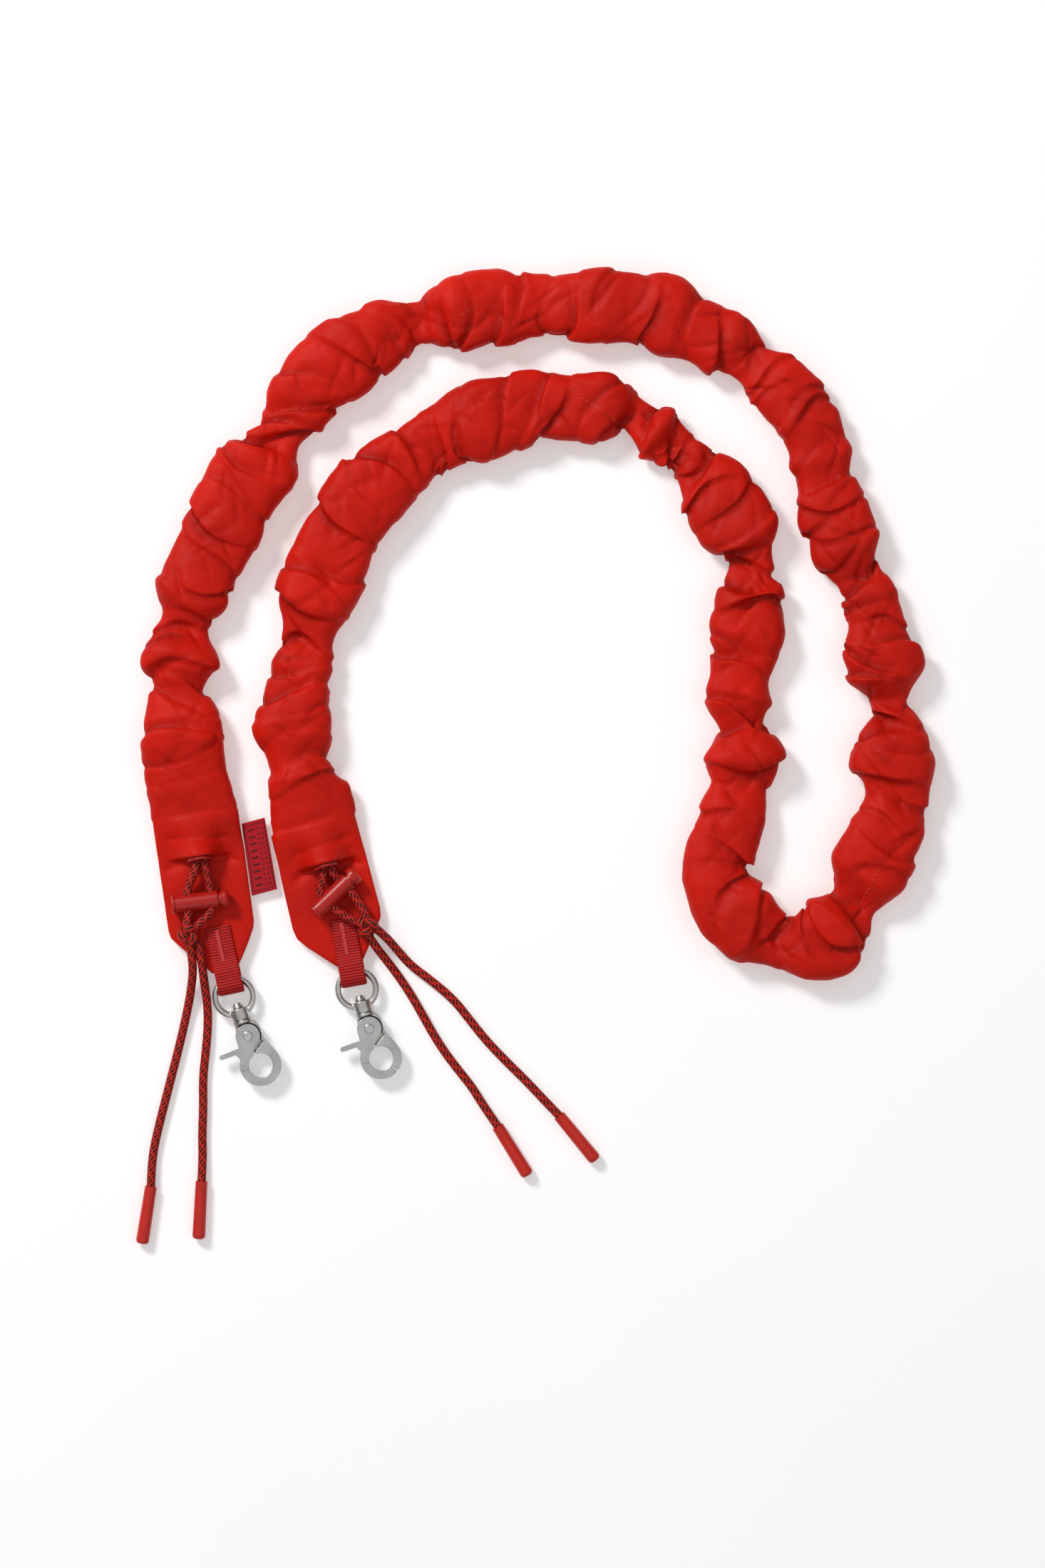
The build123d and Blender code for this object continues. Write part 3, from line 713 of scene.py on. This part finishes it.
def sleeve_rows():
    left, right = ENDS
    start = [end_point(left, HOOD_LENGTH), end_point(left, HOOD_LENGTH + END_RUN)]
    finish = [end_point(right, HOOD_LENGTH + END_RUN), end_point(right, HOOD_LENGTH)]
    path = smooth_path(start + SLEEVE_ROUTE + finish, ROW_STEP)
    tangents = np.gradient(path, axis=0)
    tangents = np.stack([smoothed(tangents[:, i], 9) for i in (0, 1)], axis=1)
    tangents /= np.linalg.norm(tangents, axis=1)[:, None]
    along = np.arange(len(path)) * ROW_STEP
    width = smoothed(sleeve_width(path, along), 3)
    away = np.clip(np.minimum(along, along[-1] - along) / COLLAR_REACH, 0, 1)
    sway = 2 * WANDER * away * np.array([noise.noise(Vector((s / WANDER_SPACING, 8.2, 1.7))) for s in along])
    path = path + sway[:, None] * np.stack([tangents[:, 1], -tangents[:, 0]], axis=1)
    rows = []
    for place, tangent, wide, s in zip(path, tangents, width, along):
        across = np.array((tangent[1], -tangent[0]))
        from_end = min(s, along[-1] - s)
        high = float(np.clip(0.44 * wide + 2.2, 9.5, min(15.5, COLLAR_TOP + 0.16 * from_end)))
        rows.append(Row(tuple(place), across, -wide / 2, wide / 2, FLOOR_GAP, high, 0.8, s, 0.0, None))
    return rows[1:-1]


def choose_valleys(rows):
    """The creases between the gathers: close together in a pinch, far apart in a puff."""
    valleys = []
    widths = np.array([row.right - row.left for row in rows])
    length = rows[-1].along
    s = 5.0
    while s < length - 5:
        tight = crumple(widths[int(s / ROW_STEP)])
        slant = 0.8 * noise.noise(Vector((s / 34, 0.5, 0.2))) + RANDOM.normal(0, 0.2)
        depth = RANDOM.uniform(1.0, 3.4) * (0.85 + 0.3 * tight)
        side = RANDOM.choice((-1.0, 1.0))
        valleys.append(Valley(s, slant, RANDOM.uniform(-3.5, 3.5), depth, side, RANDOM.choice((-1.0, 1.0))))
        s += (4.0 + 8.0 * (1 - tight)) * RANDOM.uniform(0.55, 1.45)
    return valleys


def choose_creases(rows):
    """Short slanting creases inside the puffs."""
    creases = []
    s = 8.0
    while s < rows[-1].along - 8:
        slant = RANDOM.uniform(0.7, 2.2) * RANDOM.choice((-1.0, 1.0))
        across, depth, reach = RANDOM.uniform(-9, 9), RANDOM.uniform(0.5, 1.5), RANDOM.uniform(3.5, 7.5)
        creases.append(Crease(s, across, slant, depth, reach))
        s += RANDOM.uniform(3.0, 9.0)
    return creases


def fold_fields(rows, angles):
    """For every row and angle of the sleeve: the folds' height, their lean along it, and a mask of painted
    shade along the creases.
    """
    along = np.array([row.along for row in rows])[:, None]
    half = np.array([(row.right - row.left) / 2 for row in rows])[:, None]
    c, s = np.cos(angles)[None, :], np.sin(angles)[None, :]
    across = half * c
    height = np.zeros((len(rows), len(angles)))
    lean = np.zeros_like(height)
    crease = np.zeros_like(height)
    gather = np.zeros(height.shape, int)
    valleys = choose_valleys(rows)
    for valley in valleys:
        wander = 1.6 * np.sin(2.3 * angles + valley.at)[None, :]
        distance = along - (valley.at + valley.slant * across + valley.bow * s * s + wander)
        gather += distance > 0
        distance = distance * valley.lean
        reach = np.where(distance > 0, 4.4, 1.0)
        strength = 0.2 + 0.8 / (1 + np.exp(-4.5 * (c * valley.side + 0.25)))
        groove = valley.depth * strength * np.exp(-np.abs(distance) / reach)
        height -= groove
        # The mask for painted shade: thin dark lines along each valley, strongest where the valley is
        # deepest.
        line_width = np.where(distance > 0, 1.5, 0.6)
        crease = np.maximum(crease, valley.depth / 3 * strength**2 * np.exp(-np.abs(distance) / line_width))
        lean -= valley.lean * 1.1 * groove * np.exp(-((distance + 1.4) ** 2) / 4.0) * (distance < 0.6)
    swell = RANDOM.uniform(-1.1, 1.3, (len(valleys) + 1, 3))
    left, right, top = (swell[:, index][gather] for index in range(3))
    swollen = np.where(c < 0, left, right) * np.abs(c) ** 1.5 + top * np.abs(s)
    swollen[1:-1] = 0.25 * swollen[:-2] + 0.5 * swollen[1:-1] + 0.25 * swollen[2:]
    height += swollen
    for short in choose_creases(rows):
        distance = along - (short.at + short.slant * (across - short.across))
        sideways = np.exp(-(((across - short.across) / short.reach) ** 2))
        share = sideways * np.exp(-(((along - short.at) / 9) ** 2))
        side = np.where(distance > 0, 2.4, 0.8)
        height -= short.depth * share * np.exp(-np.abs(distance) / side) * (s > -0.3)
        # Painted shade along the short creases too.
        crease = np.maximum(crease, 0.4 * short.depth * share**2 * np.exp(-np.abs(distance) / 0.8))
    return height, lean, np.clip(crease, 0, 1)


def ring_points(row, c, s):
    """Points around one row as (across, height), in millimetres."""
    middle, half = (row.left + row.right) / 2, (row.right - row.left) / 2
    across = middle + half * np.sign(c) * np.abs(c) ** (0.5 + 0.5 * row.square)
    centre, rise = (row.low + row.high) / 2, (row.high - row.low) / 2
    height = centre + rise * np.sign(s) * np.abs(s) ** row.square
    if row.mound:
        bump = np.exp(-np.abs(across / 8.0) ** 3) * (HOOD_TOP - row.high) * row.mound
        height = height + np.where(s > 0, bump * np.clip(s * 3, 0, 1), 0)
    if row.down is not None:
        height = height - tuck_depth(across, row.down) * (s > 0.02)
    return across, height


def tuck_depth(across, down):
    """Creases that run out from the eyelet to both sides of a flat end, and soft dents in its padding."""
    reach = np.clip((np.abs(across) - 5.5) / 3.0, 0, 1) * np.clip((17.0 - np.abs(across)) / 5.0, 0, 1)
    crease = 2.1 * np.exp(-np.abs(down + 1.6 - 0.28 * np.abs(across)) / 1.5) * reach
    second = 1.5 * np.exp(-np.abs(down + 8.5 - 0.1 * across) / 1.6)
    second = second * np.clip((15.0 - np.abs(across)) / 6.0, 0, 1)
    return crease + second * np.clip(-down / 5.0, 0, 1)


def fabric_points(rows, inside):
    """Every vertex of the fabric, row by row, and the gathered rows' mask of painted crease shade. inside is
    the slice of rows that are gathered.
    """
    angles = (np.arange(RING) + 0.5) * 2 * pi / RING
    c, s = np.cos(angles), np.sin(angles)
    sleeve = rows[inside]
    height, lean, crease = fold_fields(sleeve, angles)
    steps = np.arange(len(sleeve))
    fade = np.clip(np.minimum(steps, steps[::-1]) / 26, 0, 1)[:, None]
    points = np.zeros((len(rows), RING, 3))
    for index, row in enumerate(rows):
        across, rise = ring_points(row, c, s)
        points[index, :, 0] = row.centre[0] + row.across[0] * across
        points[index, :, 1] = row.centre[1] + row.across[1] * across
        points[index, :, 2] = rise
    start = inside.start
    for index, row in enumerate(sleeve):
        forward = np.array((-row.across[1], row.across[0]))
        lift = height[index] * fade[index] + 0.9 * fade[index]
        lift = np.maximum(lift, CORE_HALF_WIDTH - (row.right - row.left) / 2)
        push = lean[index] * fade[index]
        here = points[start + index]
        here[:, 0] += row.across[0] * c * lift + forward[0] * push
        here[:, 1] += row.across[1] * c * lift + forward[1] * push
        here[:, 2] += s * lift * np.where(s > 0, 1.0, 0.3)
    flat = points.reshape(-1, 3)
    for index, point in enumerate(flat):
        place = Vector(point)
        share = 1.0 if start <= index // RING < inside.stop else 0.25
        puff = 0.9 * noise.noise(place * 0.075 + SEED) + 0.35 * noise.noise(place * 0.21 - SEED)
        lift = share * puff
        row = rows[index // RING]
        k = index % RING
        point[0] += row.across[0] * c[k] * lift
        point[1] += row.across[1] * c[k] * lift
        lowest = FLOOR_GAP if share < 1 else max(FLOOR_GAP, CORE_TOP * min(1.0, 1.6 * s[k]))
        point[2] = max(lowest, point[2] + s[k] * lift)
    return flat * MM, crease * fade


def make_fabric():
    first = panel_rows(LEFT, 1)
    middle = sleeve_rows()
    last = panel_rows(RIGHT, -1)[::-1]
    rows = [*first, *middle, *last]
    points, crease = fabric_points(rows, slice(len(first), len(first) + len(middle)))
    piece = add_piece("strap_fabric", points, grid_faces(len(rows), RING), NYLON)
    # The painted crease shade is stored per vertex as the 'crease' attribute, which darkens the nylon's
    # colour.
    marks = np.zeros((len(rows), RING), np.float32)
    marks[len(first) : len(first) + len(middle)] = crease
    piece.data.attributes.new("crease", "FLOAT", "POINT").data.foreach_set("value", marks.ravel())
    lengths = [index * ROW_STEP * GATHER * MM for index in range(len(rows))]
    add_uv(piece, RING, lengths, [GIRTH * MM] * len(rows))
    return piece, rows


def close_ends(piece, rows):
    """Flat caps over the two tips, and the hole in each hood's wall behind its eyelet."""
    mesh = bmesh.new()
    mesh.from_mesh(piece.data)
    mesh.verts.ensure_lookup_table()
    for start in (0, (len(rows) - 1) * RING):
        ring = [mesh.verts[start + k] for k in range(RING)]
        for k in range(RING // 2 - 1):
            face = mesh.faces.new([ring[k], ring[k + 1], ring[RING - 2 - k], ring[RING - 1 - k]])
            face.smooth = True
    for end in ENDS:
        hole = end_matrix(end) @ Vector((0, 0, EYELET_HEIGHT))
        axis = end_matrix(end).to_3x3().normalized() @ Vector((0, 1, 0))
        gone = []
        for face in mesh.faces:
            offset = face.calc_center_median() - hole
            along = offset.dot(axis)
            if abs(along) < 1.4 * MM and (offset - axis * along).length < EYELET_RADIUS * MM:
                gone.append(face)
        bmesh.ops.delete(mesh, geom=gone, context="FACES")
    bmesh.ops.recalc_face_normals(mesh, faces=mesh.faces)
    mesh.to_mesh(piece.data)
    mesh.free()


fabric, fabric_rows = make_fabric()
close_ends(fabric, fabric_rows)
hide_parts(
    "fabric_sleeve", "end_cover_left", "end_cover_right", "end_padding_left", "end_padding_right"
)
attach(fabric, "root")


# ---------------------------------------------------------------- drawcords, webbing, bartacks and label
def thread_tube(name, line, radius, material, sides=8):
    """A plain round tube along a line in metres, with closed ends. radius is in millimetres."""
    line = np.asarray(line, float)
    across, ups = line_frames(line)
    around = np.arange(sides)[None, :, None] * 2 * pi / sides
    ring = np.cos(around) * across[:, None] + np.sin(around) * ups[:, None]
    verts = (line[:, None] + radius * MM * ring).reshape(-1, 3)
    faces = grid_faces(len(line), sides)
    faces.append(tuple(reversed(range(sides))))
    faces.append(tuple(range(len(verts) - sides, len(verts))))
    return add_piece(name, verts, faces, material)


def make_drawcord(side, node):
    """The cord inside the sleeve, from one eyelet to the other."""
    left, right = ENDS
    points = [end_matrix(left) @ Vector(eyelet_point(side, -back)) for back in (6, 10)]
    inside = [row for row in fabric_rows if row.down is None][10:-10]
    for row in inside[::6]:
        x = row.centre[0] + row.across[0] * side * 1.75
        y = row.centre[1] + row.across[1] * side * 1.75
        points.append(Vector((x, y, DRAWCORD_HEIGHT)) * MM)
    points += [end_matrix(right) @ Vector(eyelet_point(-side, -back)) for back in (10, 6)]
    piece = thread_tube(f"inside_{node}", spaced(nurbs_line(points), 0.0015), CORD_DIAMETER / 2, CORD, 12)
    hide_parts(node)
    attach(piece, "root")


WEB_STEP = 0.14
WEB_RELIEF = 0.15
DRAWCORD_HEIGHT = 3.4


def web_height(distance):
    """The height of the webbing's middle on top of the strap end, this far below its upper edge."""
    low = PAD_TOP + WEB_THICKNESS / 2
    high = 2 * WEB_MIDDLE - WEB_THICKNESS / 2
    share = np.clip((distance - 13.0) / 6.5, 0, 1)
    return low + (high - low) * (0.5 - 0.5 * np.cos(pi * share))


def make_webbing(end):
    """Ribbed grosgrain: sewn to the top of the end, round the ring, and back under it."""
    bend = WEB_MIDDLE - WEB_THICKNESS / 2
    turn = end.web_length - WEB_THICKNESS / 2 - bend
    profile = [(d, web_height(d)) for d in np.linspace(0, turn, 40)]
    profile += [(turn + bend * sin(a), WEB_MIDDLE + bend * cos(a)) for a in np.linspace(0.1, pi - 0.1, 24)]
    profile += [(turn, WEB_THICKNESS / 2), (0, WEB_THICKNESS / 2)]
    line = spaced(profile, WEB_STEP)
    tangent = np.gradient(line, axis=0)
    tangent /= np.linalg.norm(tangent, axis=1)[:, None]
    normal = np.stack([-tangent[:, 1], tangent[:, 0]], axis=1)
    along = np.arange(len(line)) * WEB_STEP
    rib = np.sin(2 * pi * along / WEB_RIB)
    across = np.linspace(-1, 1, 16)
    edge = 1 - 0.45 * np.abs(across) ** 12
    verts = []
    for place, out, rise in zip(line, normal, rib):
        width = WEB_WIDTH / 2 + 0.09 * rise
        for face in (1, -1):
            for step, level in zip(across * face, edge):
                lift = face * level * (WEB_THICKNESS / 2 - 0.12 + WEB_RELIEF * rise * 0.5)
                verts.append((step * width, -(place[0] + out[0] * lift), place[1] + out[1] * lift))
    columns = 2 * len(across)
    faces = grid_faces(len(line), columns)
    faces.append(tuple(reversed(range(columns))))
    faces.append(tuple(range(len(verts) - columns, len(verts))))
    piece = add_piece(f"grosgrain_{end.name}", placed(web_matrix(end), verts), faces, WEBBING)
    add_uv(piece, columns, along * MM, [2 * WEB_WIDTH * MM] * len(line))
    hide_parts(f"webbing_tab_{end.name}")
    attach(piece, "root")


def make_bartack(end):
    """A dense zigzag of thread that sews the webbing down."""
    throws, start, finish = 34, 1.4, 14.6
    points = []
    for index, down in enumerate(np.linspace(start, finish, throws)):
        swing = 0.95 + 0.15 * noise.noise(Vector((index * 0.7, 0, end.tilt)))
        across = -0.6 + swing * (1 if index % 2 else -1)
        points.append((across, -down, web_height(down) + WEB_THICKNESS / 2 + 0.1))
    line = spaced(placed(web_matrix(end), points), 0.00016)
    piece = thread_tube(f"zigzag_{end.name}", line, 0.21, THREAD)
    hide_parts(f"bartack_{end.name}")
    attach(piece, "root")


LABEL_CORNERS = ((18.75, -12.0), (28.5, -13.2), (29.5, 16.8), (18.75, 18.1))
LABEL_LIFT = 0.34


def label_point(u, v, height=0.0):
    """A point of the label in metres: u from the seam outwards and v downwards, both 0 to 1."""
    first, second, third, fourth = (Vector(corner) for corner in LABEL_CORNERS)
    across, down = first.lerp(second, u).lerp(fourth.lerp(third, u), v)
    curl = 0.35 * u * u * sin(pi * v)
    return tuple(end_matrix(LEFT) @ Vector((across, -down, (PAD_BOTTOM + PAD_TOP) / 2 + curl + height)))


def make_label():
    """A folded woven label with turned hems, a stitched border, plain bars and dots."""
    rows, columns = 90, 26
    verts = []
    for row in range(rows):
        v = row / (rows - 1)
        hem = 0.1 * (1 / (1 + np.exp((v - 0.06) / 0.008)) + 1 / (1 + np.exp((0.94 - v) / 0.008)))
        for face in (1, -1):
            for column in range(columns):
                u = column / (columns - 1) if face > 0 else 1 - column / (columns - 1)
                rounded = 1 - 0.6 * u**24
                verts.append(label_point(u, v, face * rounded * (LABEL_LIFT - 0.06 + hem)))
    faces = grid_faces(rows, 2 * columns)
    faces.append(tuple(reversed(range(2 * columns))))
    faces.append(tuple(range(len(verts) - 2 * columns, len(verts))))
    piece = add_piece("folded_label", verts, faces, LABEL)
    add_uv(piece, 2 * columns, [row * 0.00034 for row in range(rows)], [0.021] * rows)
    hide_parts("side_label")
    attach(piece, "label")
    dashes = []

    def dash(start, finish, radius=0.17):
        line = [label_point(*Vector(start).lerp(Vector(finish), t), LABEL_LIFT) for t in np.linspace(0, 1, 5)]
        dashes.append(thread_tube("dash", line, radius, DARK_THREAD, 6))

    for u in (0.09, 0.92):
        for index in range(15):
            v = 0.045 + index * 0.061
            dash((u, v), (u, v + 0.046))
    for v in (0.045, 0.955):
        for index in range(5):
            u = 0.1 + index * 0.165
            dash((u, v), (u + 0.12, v))
    for index in range(9):
        v = 0.12 + index * 0.095
        dash((0.22, v), (0.46, v), 0.26)
    for index in range(12):
        for u in (0.6, 0.76):
            dash((u, 0.12 + index * 0.07), (u + 0.05, 0.12 + index * 0.07), 0.25)
    marks = joined("label_marks", dashes)
    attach(marks, "label")


# Rows of stitching that show on the sleeve: (start, finish, how many stitches).
STITCH_ROWS = [
    ((-31.0, 149.0), (-22.5, 153.5), 5),
    ((14.0, 120.0), (34.0, 106.0), 11),
    ((142.0, -78.0), (134.4, -93.2), 8),
]


def make_stitches():
    """Short stitches lying on the fabric, where the sleeve's seam shows."""
    surface = BVHTree.FromObject(fabric, bpy.context.evaluated_depsgraph_get())
    stitches = []
    for start, finish, count in STITCH_ROWS:
        start, finish = Vector(start), Vector(finish)
        for index in range(count):
            line = []
            for part in np.linspace(0.15, 0.75, 4):
                x, y = start.lerp(finish, (index + part) / count) * MM
                hit = surface.ray_cast(Vector((x, y, 0.05)), Vector((0, 0, -1)))[0]
                if hit:
                    line.append((hit.x, hit.y, hit.z + 0.1 * MM))
            if len(line) == 4:
                stitches.append(thread_tube("stitch", line, 0.17, SEAM_THREAD, 6))
    piece = joined("sleeve_stitches", stitches)
    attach(piece, "root")


make_stitches()
make_drawcord(-1, "drawcord_outer")
make_drawcord(1, "drawcord_inner")
make_label()
for strap_end in ENDS:
    make_upper_cords(strap_end)
    make_lower_cords(strap_end)
    make_knot(strap_end)
    make_webbing(strap_end)
    make_bartack(strap_end)
for tail_name in TAILS:
    make_tail(tail_name)


# ---------------------------------------------------------------- finishes of the CAD nodes that stay
def finish_node(node, material, cast=0, voxel=0.2):
    """Gives a node its material. cast is how many smoothing passes round its edges, as on a casting."""
    part = NODES[node]
    part.data.materials.clear()
    part.data.materials.append(material)
    for polygon in part.data.polygons:
        polygon.use_smooth = True
    if cast:
        weld = part.modifiers.new("weld", "WELD")
        weld.merge_threshold = 0.01 * MM
        remesh = part.modifiers.new("even_mesh", "REMESH")
        remesh.mode = "VOXEL"
        remesh.voxel_size = voxel * MM
        remesh.use_smooth_shade = True
        smooth = part.modifiers.new("cast_edges", "SMOOTH")
        smooth.factor = 0.5
        smooth.iterations = cast


for side_name in ("left", "right"):
    finish_node(f"hook_frame_{side_name}", NICKEL, 24)
    finish_node(f"hook_trigger_{side_name}", NICKEL, 8, 0.14)
    finish_node(f"hook_eye_{side_name}", NICKEL)
    finish_node(f"trigger_rivet_{side_name}", RIVET_NICKEL)
    finish_node(f"trigger_spring_{side_name}", SPRING_STEEL)
    finish_node(f"lock_spring_{side_name}", SPRING_STEEL)
    finish_node(f"lock_barrel_{side_name}", LOCK_PLASTIC)
    finish_node(f"lock_plunger_{side_name}", LOCK_PLASTIC)
    finish_node(f"eyelet_{side_name}", EYELET_PAINT)
    finish_node(f"eyelet_washer_{side_name}", EYELET_PAINT)
for tail_name in TAILS:
    finish_node(f"cord_tip_{tail_name}", TIP_PLASTIC)


# ---------------------------------------------------------------- stage, light and camera
FRAME_HEIGHT = 647.06
LENS, SENSOR = 135.0, 36.0
VIEW_CENTRE = (-4.7, -43.2, 6.0)


def make_stage():
    size = 3.0
    corners = [(-size, -size, 0), (size, -size, 0), (size, size, 0), (-size, size, 0)]
    shader = Shader("pale_floor", (0.8, 0.8, 0.8), 0.9)
    shader.set("Emission Color", (1, 1, 1, 1)).set("Emission Strength", 0.3)
    shader.colour_from(shader.ramp(shader.noise(3), (0.3, (0.79, 0.79, 0.79)), (0.7, (0.81, 0.81, 0.81))))
    floor = add_piece("floor", corners, [(0, 1, 2, 3)], shader.material)
    floor.location.z = -0.0002


def area_light(name, place, size, power):
    light = bpy.data.lights.new(name, "AREA")
    light.size = size
    light.energy = power
    lamp = bpy.data.objects.new(name, light)
    lamp.location = place
    lamp.rotation_euler = Vector(place).to_track_quat("Z", "Y").to_euler()
    bpy.context.scene.collection.objects.link(lamp)


def make_lights():
    area_light("key", (-1.2, 1.3, 1.5), 0.5, 36)
    area_light("fill", (1.6, -0.6, 1.6), 1.6, 3)
    area_light("front", (-0.2, -1.8, 1.5), 1.4, 3)
    world = bpy.data.worlds.new("studio")
    world.use_nodes = True
    tree = world.node_tree
    place = tree.nodes.new("ShaderNodeTexCoord")
    split = tree.nodes.new("ShaderNodeSeparateXYZ")
    ramp = tree.nodes.new("ShaderNodeValToRGB")
    for element, (position, level) in zip(ramp.color_ramp.elements, ((0.3, 0.04), (0.85, 1.0))):
        element.position = position
        element.color = (level, level, level, 1)
    tree.links.new(place.outputs["Generated"], split.inputs["Vector"])
    tree.links.new(split.outputs["Z"], ramp.inputs["Fac"])
    tree.links.new(ramp.outputs["Color"], tree.nodes["Background"].inputs["Color"])
    tree.nodes["Background"].inputs["Strength"].default_value = 0.6
    bpy.context.scene.world = world
    bpy.context.scene.view_settings.view_transform = "Standard"


def make_camera():
    camera = bpy.data.cameras.new("camera")
    camera.lens = LENS
    camera.sensor_width = SENSOR
    distance = FRAME_HEIGHT / 2 / (SENSOR / 2 / LENS)
    x, y, z = VIEW_CENTRE
    holder = bpy.data.objects.new("camera", camera)
    holder.location = (x * MM, y * MM, (z + distance) * MM)
    camera.clip_start, camera.clip_end = 0.05, 20
    bpy.context.scene.collection.objects.link(holder)
    bpy.context.scene.camera = holder


make_stage()
make_lights()
make_camera()
